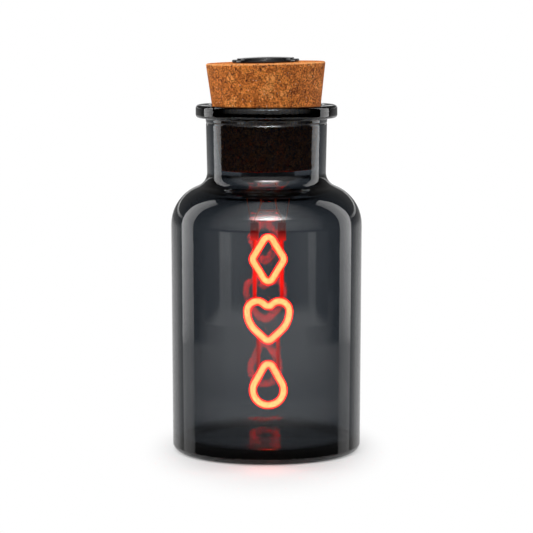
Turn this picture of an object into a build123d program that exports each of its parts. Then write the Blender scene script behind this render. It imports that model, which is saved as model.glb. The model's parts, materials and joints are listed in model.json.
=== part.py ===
from build123d import *
import os
from math import asin, atan2, cos, hypot, radians, sin, sqrt, tan

# A cork bottle light: a smoked glass jar with a flat lip, a tapered cork stopper with a
# battery housing through it, and a string of lit figures that hangs from the housing.
# Lengths in millimetres. The origin is on the bottle's axis, on the surface it stands on.
# Z is up, X is to the right and Y points away from the front.

os.makedirs("parts", exist_ok=True)

# Clearances and the one overrun that all cuts share
seat_gap = 0.15
fit_gap = 0.2
cork_gap = 0.3
saddle_gap = 0.1
overrun = 1.0

# Cork stopper: its length, its two radii and how much of it stands out of the bottle
cork_length = 51.3
cork_top_radius = 28.7
cork_bottom_radius = 22.2
cork_showing = 20.2
cork_edge_round = 0.7
stopper_lean = 1.2

# Bottle: the body's height is to the corner that the shoulder rounds, and the neck runs
# from the top of the shoulder to the lip
body_height = 123.1
neck_length = 37.4
body_radius = 46.0
body_draft = 0.6
body_wall = 3.2
floor_thickness = 5.0
base_round = 3.3
floor_round = 4.2
kick_radius = 33.5
kick_depth = 1.4
kick_round = 1.2
shoulder_rise = 6.7
roof_thickness = 2.2
roof_rise = 5.5
shoulder_round_share = 0.72
root_round_share = 0.26
inner_shoulder_share = 0.667
inner_root_share = 0.06
neck_wall = 2.75
neck_draft = 0.7
seam_drop = 4.2
seam_height = 1.3
seam_depth = 0.25
rim_height = 6.2
rim_overhang = 4.8
rim_round = 1.6
rim_root_round = 0.9
mouth_round = 1.2

# Battery housing: a tube through the cork with a cupped, flanged head
flange_radius = 16.1
flange_thickness = 1.4
flange_round = 0.45
cup_radius = 15.2
cup_floor = 1.6
tube_radius = 12.9
tube_wall = 1.4
tube_edge = 0.5
ledge_width = 0.8
ledge_height = 1.2

# Push button
button_radius = 13.7
button_stand = 1.1
button_crown = 0.5
button_wall = 1.3
button_roof = 1.4
button_travel = 0.8
button_margin = 0.25
button_skirt = 1.5
button_round = 0.35
post_radius = 2.2
hook_count = 3
hook_width = 5.0
hook_thickness = 1.0
hook_reach = 0.9
hook_height = 1.2
hook_length = 4.6
hook_room = 2.05

# Push switch and its board under the button
switch_side = 6.0
switch_height = 3.4
switch_edge = 0.4
plunger_radius = 1.7
plunger_stand = 1.0
plunger_sunk = 1.1
switch_board_radius = 10.3
board_thickness = 1.2
pin_radius = 0.9
pin_circle = 7.6

# Cell and its cradle
cell_radius = 8.2
cell_length = 34.5
cell_round = 0.6
nub_radius = 2.8
nub_height = 0.7
cell_room = 0.5
cradle_wall = 1.2
cradle_disc = 1.5
tab_width = 3.0
tab_thickness = 0.25
ribbon_width = 3.6
ribbon_thickness = 0.3

# End plate, charging board and socket at the foot of the housing
plate_thickness = 2.0
plate_inset = 0.3
plate_wall = 0.9
foot_post_radius = 1.7
foot_collar_radius = 2.4
foot_circle = 8.4
foot_angle = 125.0
board_rise = 5.3
chip_room = 2.9
screw_radius = 0.8
screw_length = 7.0
screw_head_radius = 1.6
screw_head_height = 0.9
screw_slot = 0.5
socket_width = 8.94
socket_height = 3.26
socket_wall = 0.3
socket_back = 0.8
socket_offset = 5.7
socket_inset = 0.3
tongue_width = 6.7
tongue_thickness = 0.7
tongue_length = 4.5
chip_length = 5.0
chip_width = 4.0
chip_height = 1.5
charger_length = 3.6
charger_width = 2.6
charger_height = 1.0

# Leads, their grommets and ring, and the two terminal blocks
lead_radius = 0.4
lead_spread = 3.5
lead_straight = 3.5
grommet_radius = 1.2
grommet_lip = 0.5
grommet_lip_height = 0.5
ring_drop_share = 0.566
ring_lead_spread = 4.3
ring_wire = 0.3
lead_bend_share = 0.4
block_width = 4.0
block_depth = 3.6
block_height = 9.7
block_edge = 0.4
block_pin_radius = 0.4
block_pin_proud = 0.2
block_pin_drop = 3.5

# Lit figures: a tube of silicone round a core, drawn at the middle of the tube. The
# height that the pieces of the string leave free, from the housing's foot to the glass
# floor, goes over the blocks, under the diamond and under the heart in these shares, and
# the rest is left under the drop.
block_drop_share = 0.344
heart_gap_share = 0.163
drop_gap_share = 0.179
sleeve_radius = 1.85
sleeve_wall = 0.45
core_gap = 0.05
leg_radius = 0.95
leg_wire_radius = 0.35
leg_inset = 1.3
low_leg_spread = 4.8
corner_room = 0.55
diamond_nest = 3.65
diamond_half_width = 7.9
diamond_half_height = 12.9
heart_half_width = 10.25
heart_lobe_radius = 4.85
heart_side_radius = 13.0
heart_cleft_rise = 1.5
heart_tip_drop = 15.1
drop_radius = 7.45
drop_rise = 15.2


def cork_radius_at(above_mouth):
    """Radius of the cork at a height above the bottle's mouth."""
    below_top = (cork_showing - above_mouth) / cork_length
    return cork_top_radius - (cork_top_radius - cork_bottom_radius) * below_top


def tangent_point(point, centre, radius, side):
    """Where a straight line from a point touches a circle, which it passes on one side."""
    across = centre[0] - point[0]
    up = centre[1] - point[1]
    apart = hypot(across, up)
    heading = atan2(up, across) + side * asin(radius / apart)
    reach = sqrt(apart**2 - radius**2)
    return (point[0] + reach * cos(heading), point[1] + reach * sin(heading))


def arc_round(centre, start, end):
    """The shorter arc about a centre from one point to another."""
    half_way = (start[0] + end[0] - 2 * centre[0], start[1] + end[1] - 2 * centre[1])
    radius = hypot(start[0] - centre[0], start[1] - centre[1])
    scale = radius / hypot(*half_way)
    middle = (centre[0] + half_way[0] * scale, centre[1] + half_way[1] * scale)
    return ThreePointArc(start, middle, end)


# Bottle, turned from one outline that runs out under the base, up the outside, over the
# lip and down the inside. The mouth follows the cork, and the neck follows the mouth.
bottle_height = body_height + shoulder_rise + neck_length
mouth_radius = cork_radius_at(0) + cork_gap
neck_bore = mouth_radius - neck_draft
neck_radius = neck_bore + neck_wall
rim_radius = neck_radius + neck_draft + rim_overhang
rim_bottom = bottle_height - rim_height
seam_top = rim_bottom - seam_drop
base_radius = body_radius - body_draft

outer_run = hypot(body_radius - neck_radius, shoulder_rise)
outer_turn = (radians(90) - atan2(shoulder_rise, body_radius - neck_radius)) / 2
shoulder_round = shoulder_round_share * outer_run / tan(outer_turn)
root_round = root_round_share * outer_run / tan(outer_turn)

cavity_radius = body_radius - body_wall
roof_height = body_height - roof_thickness
inner_run = hypot(cavity_radius - neck_bore, roof_rise)
inner_turn = (radians(90) - atan2(roof_rise, cavity_radius - neck_bore)) / 2
inner_shoulder_round = inner_shoulder_share * inner_run / tan(inner_turn)
inner_root_round = inner_root_share * inner_run / tan(inner_turn)


def neck_radius_at(height):
    """Outer radius of the neck, which widens a little towards the lip."""
    neck_foot = body_height + shoulder_rise
    return neck_radius + neck_draft * (height - neck_foot) / (rim_bottom - neck_foot)


bottle_outline = [
    ((kick_radius, kick_depth), kick_round),
    ((kick_radius, 0), kick_round / 2),
    ((base_radius, 0), base_round),
    ((body_radius, body_height), shoulder_round),
    ((neck_radius, body_height + shoulder_rise), root_round),
    ((neck_radius_at(seam_top - seam_height), seam_top - seam_height), 0),
    ((neck_radius_at(seam_top) - seam_depth, seam_top - seam_height / 2), 0),
    ((neck_radius_at(seam_top), seam_top), 0),
    ((neck_radius_at(rim_bottom), rim_bottom), rim_root_round),
    ((rim_radius, rim_bottom), rim_round),
    ((rim_radius, bottle_height), rim_round),
    ((mouth_radius, bottle_height), mouth_round),
    ((neck_bore, roof_height + roof_rise), inner_root_round),
    ((cavity_radius, roof_height), inner_shoulder_round),
    ((cavity_radius - body_draft, floor_thickness), floor_round),
]

with BuildPart() as bottle:
    with BuildSketch(Plane.XZ):
        with BuildLine():
            glass = FilletPolyline(
                (0, kick_depth),
                *[point for point, rounding in bottle_outline],
                (0, floor_thickness),
                radius=[rounding for point, rounding in bottle_outline],
            )
            Line(glass @ 1, glass @ 0)
        make_face()
    revolve(axis=Axis.Z)
bottle.part.label = "bottle"
export_step(bottle.part, "parts/bottle.step")

# The stopper sits a little crooked in the mouth. Its own planes have their origin on the
# axis at the mouth, with heights above the mouth, and lean to the left at the top.
lean = radians(stopper_lean)
seat = Plane(origin=(0, 0, bottle_height), x_dir=(cos(lean), 0, sin(lean)), z_dir=(-sin(lean), 0, cos(lean)))
seat_section = Plane(origin=seat.origin, x_dir=seat.x_dir, z_dir=-seat.y_dir)
seat_axis = Axis(seat.origin, seat.z_dir)

# Heights of the stopper's pieces above the mouth, stacked down from the cork's top. The
# housing's foot comes out under the cork as far as what it holds needs.
cork_bottom = cork_showing - cork_length
flange_bottom = cork_showing + seat_gap
flange_top = flange_bottom + flange_thickness
button_bottom = flange_top - button_skirt
recess_floor = button_bottom - button_travel - button_margin
cup_bottom = recess_floor - cup_floor
recess_radius = button_radius + fit_gap
tube_bore = tube_radius - tube_wall
hook_bottom = button_bottom - hook_length
hook_radius = tube_bore - fit_gap
window_bottom = hook_bottom - button_travel - button_margin
ledge_top = window_bottom - hook_room
ledge_bottom = ledge_top - ledge_height
ledge_radius = tube_bore - ledge_width
cradle_top = ledge_bottom - seat_gap
cradle_lid = cradle_top - cradle_disc
cell_top = cradle_lid - cell_room - nub_height
cell_bottom = cell_top - cell_length
cradle_bottom = cell_bottom - cell_room - cradle_disc
board_top = cradle_bottom - chip_room
board_bottom = board_top - board_thickness
plate_top = board_bottom - board_rise
plate_bottom = plate_top - plate_thickness
plate_seat_radius = tube_radius - plate_wall
tube_bottom = plate_bottom - plate_inset
switch_board_bottom = cradle_top + seat_gap
switch_board_top = switch_board_bottom + board_thickness
switch_top = switch_board_top + switch_height
plunger_top = switch_top + plunger_stand

with BuildPart() as cork_stopper:
    with BuildSketch(seat_section):
        with BuildLine():
            Polyline(
                (0, cork_bottom),
                (cork_bottom_radius, cork_bottom),
                (cork_top_radius, cork_showing),
                (0, cork_showing),
                close=True,
            )
        make_face()
    revolve(axis=seat_axis)
    rims = edges().filter_by(GeomType.CIRCLE)
    fillet(rims, radius=cork_edge_round)
    with BuildSketch(seat.offset(cork_bottom - overrun)):
        Circle(tube_radius + fit_gap)
    extrude(amount=cork_length + 2 * overrun, mode=Mode.SUBTRACT)
    with BuildSketch(seat.offset(cup_bottom - seat_gap)):
        Circle(cup_radius + fit_gap)
    extrude(amount=cork_length, mode=Mode.SUBTRACT)
cork_stopper.part.label = "cork_stopper"
export_step(cork_stopper.part, "parts/cork_stopper.step")

# Housing shell: flange over the cork, cup round the button, tube down through the cork.
# The tube has windows for the button's hooks, a ledge over the cradle and a seat for the
# end plate.
with BuildPart() as housing_shell:
    with BuildSketch(seat_section):
        with BuildLine():
            Polyline(
                (plate_seat_radius, tube_bottom),
                (tube_radius, tube_bottom),
                (tube_radius, cup_bottom),
                (cup_radius, cup_bottom),
                (cup_radius, flange_bottom),
                (flange_radius, flange_bottom),
                (flange_radius, flange_top),
                (recess_radius, flange_top),
                (recess_radius, recess_floor),
                (tube_bore, recess_floor),
                (tube_bore, ledge_top),
                (ledge_radius, ledge_top),
                (ledge_radius, ledge_bottom),
                (tube_bore, ledge_bottom),
                (tube_bore, plate_top + seat_gap),
                (plate_seat_radius, plate_top + seat_gap),
                close=True,
            )
        make_face()
    revolve(axis=seat_axis)
    flange_edges = edges().filter_by(GeomType.CIRCLE).filter_by(lambda edge: edge.radius > cup_radius + seat_gap)
    fillet(flange_edges, radius=flange_round)
    foot_edge = edges().filter_by(GeomType.CIRCLE).sort_by(seat_axis)[1]
    chamfer(foot_edge, length=tube_edge)
    with BuildSketch(seat.offset(window_bottom)):
        with PolarLocations(tube_bore, hook_count):
            Rectangle(2 * tube_wall, hook_width + 2 * fit_gap)
    extrude(amount=hook_height + button_travel + button_margin + seat_gap, mode=Mode.SUBTRACT)
housing_shell.part.label = "housing_shell"
export_step(housing_shell.part, "parts/housing_shell.step")

# Push button: a crowned cap with a post over the switch and three hooks that hold it in
with BuildPart() as push_button:
    crown_bottom = flange_top + button_stand - button_crown
    crown_top = flange_top + button_stand
    crown_radius = (button_radius**2 + button_crown**2) / (2 * button_crown)
    half_out = button_radius / 2
    half_way_drop = crown_radius - sqrt(crown_radius**2 - half_out**2)
    with BuildSketch(seat_section):
        with BuildLine():
            crown = ThreePointArc(
                (0, crown_top),
                (half_out, crown_top - half_way_drop),
                (button_radius, crown_bottom),
            )
            Polyline(
                crown @ 1,
                (button_radius, button_bottom),
                (button_radius - button_wall, button_bottom),
                (button_radius - button_wall, crown_bottom - button_roof),
                (post_radius, crown_bottom - button_roof),
                (post_radius, plunger_top + seat_gap / 2),
                (0, plunger_top + seat_gap / 2),
                crown @ 0,
            )
        make_face()
    revolve(axis=seat_axis)
    rims = edges().filter_by(GeomType.CIRCLE).filter_by(lambda edge: abs(edge.radius - button_radius) < seat_gap)
    fillet(rims.sort_by(seat_axis)[-1], radius=button_round)
    for outer_radius, height in (
        (hook_radius, crown_bottom - button_roof - hook_bottom + seat_gap),
        (hook_radius + hook_reach, hook_height),
    ):
        with BuildSketch(seat.offset(hook_bottom)):
            with PolarLocations(hook_radius, hook_count):
                Rectangle(2 * hook_radius / hook_count, hook_width)
            Circle(outer_radius, mode=Mode.INTERSECT)
            Circle(hook_radius - hook_thickness, mode=Mode.SUBTRACT)
        extrude(amount=height)
push_button.part.label = "push_button"
export_step(push_button.part, "parts/push_button.step")

# Switch: body with a well for the plunger, on a board that two pins of the cradle hold
with BuildPart() as switch_body:
    with BuildSketch(seat.offset(switch_board_top + seat_gap / 2)):
        Rectangle(switch_side, switch_side)
    extrude(amount=switch_height - seat_gap / 2)
    chamfer(edges().filter_by(Axis(seat.origin, seat.z_dir)), length=switch_edge)
    well_depth = plunger_sunk + button_travel + button_margin
    with BuildSketch(seat.offset(switch_top - well_depth)):
        Circle(plunger_radius + core_gap)
    extrude(amount=well_depth + overrun, mode=Mode.SUBTRACT)
switch_body.part.label = "switch_body"
export_step(switch_body.part, "parts/switch_body.step")

with BuildPart() as switch_plunger:
    with BuildSketch(seat.offset(switch_top - plunger_sunk)):
        Circle(plunger_radius)
    extrude(amount=plunger_sunk + plunger_stand)
    chamfer(edges().group_by(seat_axis)[-1], length=plunger_radius / 6)
switch_plunger.part.label = "switch_plunger"
export_step(switch_plunger.part, "parts/switch_plunger.step")

with BuildPart() as switch_board:
    with BuildSketch(seat.offset(switch_board_bottom)):
        Circle(switch_board_radius)
        with PolarLocations(pin_circle, 2):
            Circle(pin_radius + seat_gap, mode=Mode.SUBTRACT)
    extrude(amount=board_thickness)
switch_board.part.label = "switch_board"
export_step(switch_board.part, "parts/switch_board.step")

# Cell cradle: two discs joined by a half shell behind the cell. Two collared posts below
# carry the charging board and take the screws, and two pins above hold the switch board.
cradle_radius = tube_bore - fit_gap
shell_bore = cell_radius + fit_gap
shell_radius = shell_bore + cradle_wall
notch_front = cell_radius + fit_gap
foot_angles = (-90 - foot_angle / 2, -90 + foot_angle / 2)
foot_places = [(foot_circle * cos(radians(turn)), foot_circle * sin(radians(turn))) for turn in foot_angles]
ribbon_front = shell_radius + seat_gap

with BuildPart() as cell_cradle:
    for disc_bottom in (cradle_bottom, cradle_lid):
        with BuildSketch(seat.offset(disc_bottom)):
            Circle(cradle_radius)
            with Locations((0, shell_radius + seat_gap / 2 + cradle_radius / 2)):
                Rectangle(ribbon_width + 2 * fit_gap, cradle_radius, mode=Mode.SUBTRACT)
            with Locations((0, -notch_front - cradle_radius / 2)):
                Rectangle(tab_width + 2 * fit_gap, cradle_radius, mode=Mode.SUBTRACT)
        extrude(amount=cradle_disc)
    with BuildSketch(seat.offset(cradle_bottom + cradle_disc)):
        Circle(shell_radius)
        Circle(shell_bore, mode=Mode.SUBTRACT)
        with Locations((0, -shell_radius)):
            Rectangle(2 * shell_radius, 2 * shell_radius, mode=Mode.SUBTRACT)
    extrude(amount=cradle_lid - cradle_bottom - cradle_disc)
    with BuildSketch(seat.offset(board_top + seat_gap)):
        with Locations(*foot_places):
            Circle(foot_collar_radius)
    extrude(amount=cradle_bottom - board_top - seat_gap)
    with BuildSketch(seat.offset(plate_top + seat_gap)):
        with Locations(*foot_places):
            Circle(foot_post_radius)
    extrude(amount=cradle_bottom - plate_top - seat_gap)
    with BuildSketch(seat.offset(plate_top + seat_gap - overrun)):
        with Locations(*foot_places):
            Circle(screw_radius + core_gap)
    extrude(amount=screw_length + overrun, mode=Mode.SUBTRACT)
    with BuildSketch(seat.offset(cradle_top)):
        with PolarLocations(pin_circle, 2):
            Circle(pin_radius)
    extrude(amount=seat_gap + board_thickness + seat_gap)
cell_cradle.part.label = "cell_cradle"
export_step(cell_cradle.part, "parts/cell_cradle.step")

with BuildPart() as battery_cell:
    with BuildSketch(seat.offset(cell_bottom)):
        Circle(cell_radius)
    extrude(amount=cell_length)
    fillet(edges().filter_by(GeomType.CIRCLE), radius=cell_round)
    with BuildSketch(seat.offset(cell_top)):
        Circle(nub_radius)
    extrude(amount=nub_height)
battery_cell.part.label = "battery_cell"
export_step(battery_cell.part, "parts/battery_cell.step")

# Two bent strips, from the cell's ends out through the front notches to the boards
tab_front = -notch_front - seat_gap
tab_places = [
    (cell_bottom - seat_gap - tab_thickness, board_top + seat_gap, 1),
    (cell_top + nub_height + seat_gap, switch_board_bottom - seat_gap, -1),
]
with BuildPart() as cell_tabs:
    for flat_bottom, leg_end, way in tab_places:
        with BuildSketch(seat.offset(flat_bottom)):
            with Locations((0, tab_front / 2)):
                Rectangle(tab_width, -tab_front)
        extrude(amount=tab_thickness)
        with BuildSketch(seat.offset(min(leg_end, flat_bottom))):
            with Locations((0, tab_front - tab_thickness / 2)):
                Rectangle(tab_width, tab_thickness)
        extrude(amount=max(leg_end, flat_bottom + tab_thickness) - min(leg_end, flat_bottom))
cell_tabs.part.label = "cell_tabs"
export_step(cell_tabs.part, "parts/cell_tabs.step")

with BuildPart() as ribbon_cable:
    with BuildSketch(seat.offset(board_top + seat_gap)):
        with Locations((0, ribbon_front + ribbon_thickness / 2)):
            Rectangle(ribbon_width, ribbon_thickness)
    extrude(amount=switch_board_bottom - board_top - 2 * seat_gap)
ribbon_cable.part.label = "ribbon_cable"
export_step(ribbon_cable.part, "parts/ribbon_cable.step")

# Charging board with its two chips, and the charging socket that opens downwards
lead_places = [(-lead_spread, 0), (lead_spread, 0)]
board_radius = tube_bore - fit_gap

with BuildPart() as circuit_board:
    with BuildSketch(seat.offset(board_bottom)):
        Circle(board_radius)
        with Locations(*foot_places):
            Circle(foot_post_radius + seat_gap, mode=Mode.SUBTRACT)
    extrude(amount=board_thickness)
circuit_board.part.label = "circuit_board"
export_step(circuit_board.part, "parts/circuit_board.step")

with BuildPart() as driver_chip:
    with BuildSketch(seat.offset(board_top + seat_gap / 2)):
        with Locations((0, -chip_width / 2)):
            Rectangle(chip_length, chip_width)
    extrude(amount=chip_height)
    chamfer(faces().sort_by(seat_axis)[-1].edges(), length=chip_height / 6)
driver_chip.part.label = "driver_chip"
export_step(driver_chip.part, "parts/driver_chip.step")

with BuildPart() as charger_chip:
    with BuildSketch(seat.offset(board_top + seat_gap / 2)):
        with Locations((0, charger_width)):
            Rectangle(charger_length, charger_width)
    extrude(amount=charger_height)
    chamfer(faces().sort_by(seat_axis)[-1].edges(), length=charger_height / 6)
charger_chip.part.label = "charger_chip"
export_step(charger_chip.part, "parts/charger_chip.step")

socket_bottom = plate_bottom + socket_inset
socket_top = board_bottom - seat_gap / 2

with BuildPart() as usb_shell:
    with BuildSketch(seat.offset(socket_bottom)):
        with Locations((0, socket_offset)):
            SlotOverall(socket_width, socket_height)
    extrude(amount=socket_top - socket_bottom)
    with BuildSketch(seat.offset(socket_bottom - overrun)):
        with Locations((0, socket_offset)):
            SlotOverall(socket_width - 2 * socket_wall, socket_height - 2 * socket_wall)
    extrude(amount=socket_top - socket_back - socket_bottom + overrun, mode=Mode.SUBTRACT)
usb_shell.part.label = "usb_shell"
export_step(usb_shell.part, "parts/usb_shell.step")

with BuildPart() as usb_tongue:
    with BuildSketch(seat.offset(socket_top - socket_back - seat_gap / 2 - tongue_length)):
        with Locations((0, socket_offset)):
            Rectangle(tongue_width, tongue_thickness)
    extrude(amount=tongue_length)
    chamfer(faces().sort_by(seat_axis)[0].edges(), length=tongue_thickness / 6)
usb_tongue.part.label = "usb_tongue"
export_step(usb_tongue.part, "parts/usb_tongue.step")

# End plate with its screw seats, lead holes and socket opening
with BuildPart() as end_plate:
    with BuildSketch(seat.offset(plate_bottom)):
        Circle(plate_seat_radius - fit_gap)
        with Locations(*lead_places):
            Circle(grommet_radius + core_gap, mode=Mode.SUBTRACT)
        with Locations((0, socket_offset)):
            SlotOverall(socket_width + 2 * fit_gap, socket_height + 2 * fit_gap, mode=Mode.SUBTRACT)
        with Locations(*foot_places):
            Circle(screw_radius + seat_gap, mode=Mode.SUBTRACT)
    extrude(amount=plate_thickness)
    with BuildSketch(seat.offset(plate_bottom - overrun)):
        with Locations(*foot_places):
            Circle(screw_head_radius + seat_gap)
    extrude(amount=screw_head_height + seat_gap + overrun, mode=Mode.SUBTRACT)
end_plate.part.label = "end_plate"
export_step(end_plate.part, "parts/end_plate.step")

with BuildPart() as end_screws:
    with BuildSketch(seat.offset(plate_bottom)):
        with Locations(*foot_places):
            Circle(screw_head_radius)
    extrude(amount=screw_head_height)
    with BuildSketch(seat.offset(plate_bottom + screw_head_height)):
        with Locations(*foot_places):
            Circle(screw_radius)
    extrude(amount=screw_length - screw_head_height - seat_gap)
    with BuildSketch(seat.offset(plate_bottom - overrun)):
        with Locations(*foot_places):
            Rectangle(2 * screw_head_radius - screw_slot, screw_slot)
            Rectangle(screw_slot, 2 * screw_head_radius - screw_slot)
    extrude(amount=screw_head_height / 2 + overrun, mode=Mode.SUBTRACT)
end_screws.part.label = "end_screws"
export_step(end_screws.part, "parts/end_screws.step")

with BuildPart() as lead_grommets:
    with BuildSketch(seat.offset(plate_bottom - seat_gap / 2 - grommet_lip_height)):
        with Locations(*lead_places):
            Circle(grommet_radius + grommet_lip)
    extrude(amount=grommet_lip_height)
    with BuildSketch(seat.offset(plate_bottom - seat_gap / 2)):
        with Locations(*lead_places):
            Circle(grommet_radius)
    extrude(amount=plate_thickness)
    with BuildSketch(seat.offset(plate_bottom - plate_thickness)):
        with Locations(*lead_places):
            Circle(lead_radius + seat_gap)
    extrude(amount=3 * plate_thickness, mode=Mode.SUBTRACT)
lead_grommets.part.label = "lead_grommets"
export_step(lead_grommets.part, "parts/lead_grommets.step")

# The string of figures hangs straight down from the middle of the housing's foot
string_x = -tube_bottom * sin(lean)
string_plane = Plane(origin=(string_x, 0, 0), x_dir=(1, 0, 0), z_dir=(0, -1, 0))
foot_height = bottle_height + tube_bottom
block_part = block_height - diamond_nest
heart_part = heart_lobe_radius + heart_tip_drop
drop_part = drop_rise + drop_radius + sleeve_radius
string_pieces = block_part + 2 * diamond_half_height + heart_part + drop_part
spare_height = foot_height - floor_thickness - string_pieces
block_drop = spare_height * block_drop_share
ring_drop = block_drop * ring_drop_share
ring_height = foot_height - ring_drop
block_top = foot_height - block_drop
block_bottom = block_top - block_height
leg_spread = diamond_half_width - leg_inset
corner_round = sleeve_radius + corner_room
diamond_height = block_bottom + diamond_nest - diamond_half_height
heart_gap = spare_height * heart_gap_share
drop_gap = spare_height * drop_gap_share
heart_height = diamond_height - diamond_half_height - heart_gap - heart_lobe_radius
drop_height = heart_height - heart_tip_drop - drop_gap - drop_rise
sides = (("left", -1), ("right", 1))

# Leads: from the board down through the grommets, through the ring and into the blocks
for name, side in sides:
    board_end = seat.from_local_coords(Vector(side * lead_spread, 0, board_bottom - seat_gap))
    below_grommet = seat.from_local_coords(Vector(side * lead_spread, 0, tube_bottom - lead_straight))
    at_ring = (string_x + side * ring_lead_spread, 0, ring_height)
    over_block = (string_x + side * leg_spread, 0, block_top + lead_straight / 2)
    in_block = (string_x + side * leg_spread, 0, block_top - block_height / 3)
    lead_bends = [lead_straight, ring_drop * lead_bend_share, lead_straight]
    with BuildPart() as lead_wire:
        with BuildLine():
            lead_path = FilletPolyline(
                board_end, below_grommet, at_ring, over_block, in_block, radius=lead_bends
            )
        with BuildSketch(Plane(origin=lead_path @ 0, z_dir=lead_path % 0)):
            Circle(lead_radius)
        sweep(path=lead_path)
    lead_wire.part.label = f"lead_wire_{name}"
    export_step(lead_wire.part, f"parts/lead_wire_{name}.step")

ring_radius = ring_lead_spread + lead_radius + ring_wire + seat_gap
with BuildPart() as lead_ring:
    with BuildSketch(string_plane):
        with Locations((ring_radius, ring_height)):
            Circle(ring_wire)
    revolve(axis=Axis((string_x, 0, 0), (0, 0, 1)))
lead_ring.part.label = "lead_ring"
export_step(lead_ring.part, "parts/lead_ring.step")

# Terminal blocks, bored through from top to bottom, each with a pin in its front
for name, side in sides:
    with BuildPart() as terminal_block:
        with BuildSketch(Plane(origin=(string_x + side * leg_spread, 0, block_bottom))):
            Rectangle(block_width, block_depth)
        extrude(amount=block_height)
        chamfer(edges().filter_by(Axis.Z), length=block_edge)
        with BuildSketch(Plane(origin=(string_x + side * leg_spread, 0, block_bottom - overrun))):
            Circle(lead_radius + seat_gap)
        extrude(amount=block_height + 2 * overrun, mode=Mode.SUBTRACT)
        with BuildSketch(Plane.XZ.offset(lead_radius + 2 * seat_gap)):
            with Locations((string_x + side * leg_spread, block_top - block_pin_drop)):
                Circle(block_pin_radius + core_gap)
        extrude(amount=block_depth, mode=Mode.SUBTRACT)
    terminal_block.part.label = f"terminal_block_{name}"
    export_step(terminal_block.part, f"parts/terminal_block_{name}.step")

with BuildPart() as terminal_pins:
    for name, side in sides:
        with BuildSketch(Plane.XZ.offset(lead_radius + 2 * seat_gap + core_gap)):
            with Locations((string_x + side * leg_spread, block_top - block_pin_drop)):
                Circle(block_pin_radius)
        extrude(amount=block_depth / 2 + block_pin_proud - lead_radius - 2 * seat_gap - core_gap)
terminal_pins.part.label = "terminal_pins"
export_step(terminal_pins.part, "parts/terminal_pins.step")

# Outlines of the three figures, each a face whose rim the tube follows
with BuildSketch(string_plane) as diamond_face:
    with Locations((0, diamond_height)):
        Polygon(
            (0, diamond_half_height),
            (-diamond_half_width, 0),
            (0, -diamond_half_height),
            (diamond_half_width, 0),
            align=None,
        )
    fillet(diamond_face.vertices(), radius=corner_round)

heart_cleft = (0, heart_height + heart_cleft_rise)
heart_tip = (0, heart_height - heart_tip_drop)
with BuildSketch(string_plane) as heart_face:
    with BuildLine():
        for name, side in sides:
            widest = (side * heart_half_width, heart_height)
            lobe_centre = (side * (heart_half_width - heart_lobe_radius), heart_height)
            side_centre = (side * (heart_half_width - heart_side_radius), heart_height)
            lobe_start = tangent_point(heart_cleft, lobe_centre, heart_lobe_radius, side)
            side_end = tangent_point(heart_tip, side_centre, heart_side_radius, -side)
            Line(heart_cleft, lobe_start)
            arc_round(lobe_centre, lobe_start, widest)
            arc_round(side_centre, widest, side_end)
            Line(side_end, heart_tip)
    make_face()
    heart_corners = heart_face.vertices().filter_by(lambda corner: abs(corner.X) < core_gap)
    fillet(heart_corners, radius=corner_round)

drop_apex = (0, drop_height + drop_rise)
with BuildSketch(string_plane) as drop_face:
    with BuildLine():
        left_touch = tangent_point(drop_apex, (0, drop_height), drop_radius, -1)
        right_touch = tangent_point(drop_apex, (0, drop_height), drop_radius, 1)
        Line(drop_apex, left_touch)
        ThreePointArc(left_touch, (0, drop_height - drop_radius), right_touch)
        Line(right_touch, drop_apex)
    make_face()
    fillet(drop_face.vertices().sort_by(Axis.Y)[-1], radius=corner_round)

figures = {"diamond": diamond_face, "heart": heart_face, "drop": drop_face}
sleeve_bore = sleeve_radius - sleeve_wall
rooms = {}

# Each figure is a silicone sleeve with a lit core inside. The room is the space that the
# sleeve and its clearance take, and it cuts the ends of the legs to the tube's shape.
for figure, outline in figures.items():
    rim = outline.sketch.face().outer_wire()
    rim_start = Plane(origin=rim @ 0, z_dir=rim % 0)
    with BuildPart() as filament_sleeve:
        with BuildSketch(rim_start):
            Circle(sleeve_radius)
            Circle(sleeve_bore, mode=Mode.SUBTRACT)
        sweep(path=rim)
    filament_sleeve.part.label = f"{figure}_sleeve"
    export_step(filament_sleeve.part, f"parts/{figure}_sleeve.step")
    with BuildPart() as filament_core:
        with BuildSketch(rim_start):
            Circle(sleeve_bore - core_gap)
        sweep(path=rim)
    filament_core.part.label = f"{figure}_core"
    export_step(filament_core.part, f"parts/{figure}_core.step")
    with BuildPart() as filament_room:
        with BuildSketch(rim_start):
            Circle(sleeve_radius + saddle_gap)
        sweep(path=rim)
    rooms[figure] = filament_room.part

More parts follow.
